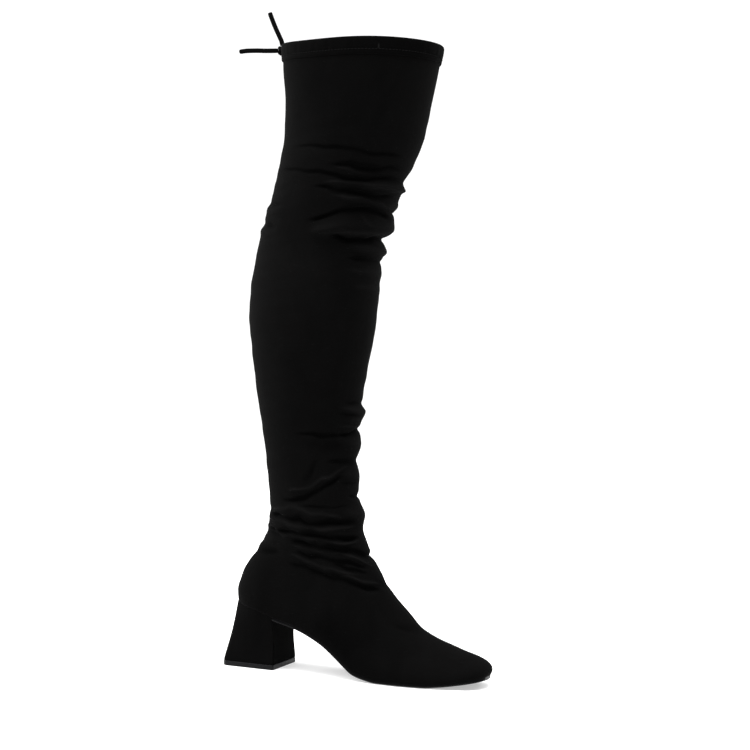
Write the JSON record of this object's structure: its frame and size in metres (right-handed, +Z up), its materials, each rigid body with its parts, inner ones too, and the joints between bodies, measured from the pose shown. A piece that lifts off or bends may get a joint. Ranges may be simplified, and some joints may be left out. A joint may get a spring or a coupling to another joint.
{
  "type": "thigh high boot",
  "caption": "Pull-on thigh high boot for the right foot, with a flared block heel, thin sole and drawstring collar.",
  "frame": {"origin": "centre of the heel tip's tread, on the floor", "axes": "+Z up along the shaft, +X forward to the toe, +Y to the inner side of the right foot"},
  "size_m": [0.2564, 0.1268, 0.5892],
  "materials": {
    "suede": "black stretch microfibre suede, matt nap",
    "sock_lining": "black textile sock",
    "sole_rubber": "black, slightly glossy edge",
    "tip_rubber": "dark grey, slightly glossy",
    "suede_cord": "black suede covered cord"
  },
  "bodies": {
    "root": {"upper": "suede", "collar_casing": "suede", "insole": "sock_lining", "outsole": "sole_rubber", "heel": "suede", "heel_tip": "tip_rubber", "drawstring_knot": "suede_cord", "drawstring_end_back": "suede_cord", "drawstring_end_up": "suede_cord"}
  },
  "joints": []
}
